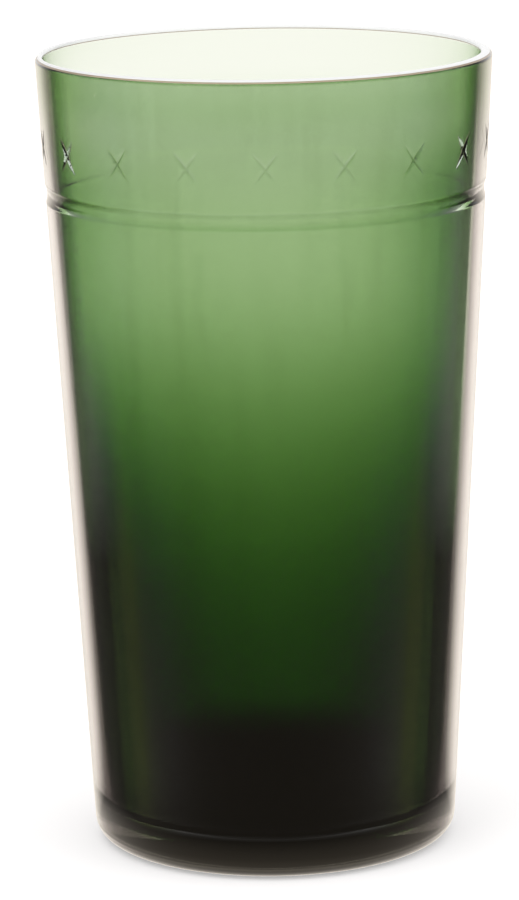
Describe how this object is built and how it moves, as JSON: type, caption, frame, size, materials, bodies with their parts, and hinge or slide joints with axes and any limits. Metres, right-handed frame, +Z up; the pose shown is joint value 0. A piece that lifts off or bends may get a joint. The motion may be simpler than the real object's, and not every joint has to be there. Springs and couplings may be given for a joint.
{
  "type": "tumbler",
  "caption": "Tall tapered drinking glass in cased glass, clear over green, with a heavy foot, a ring of wheel-cut crosses and a shallow cut band below the lip.",
  "frame": {"origin": "middle of the foot, on the plane that the tumbler stands on", "axes": "+Z up along the tumbler's axis, towards the lip; -Y points at the cross that faces the viewer; +X is to the right"},
  "size_m": [0.0748, 0.075, 0.1325],
  "materials": {
    "clear_glass": "colourless, fire-polished, with polished wheel cuts",
    "green_glass": "transparent moss green, pale at the lip and almost black at the foot, polished"
  },
  "bodies": {
    "root": {"clear_casing": "clear_glass", "green_lining": "green_glass"}
  },
  "joints": []
}
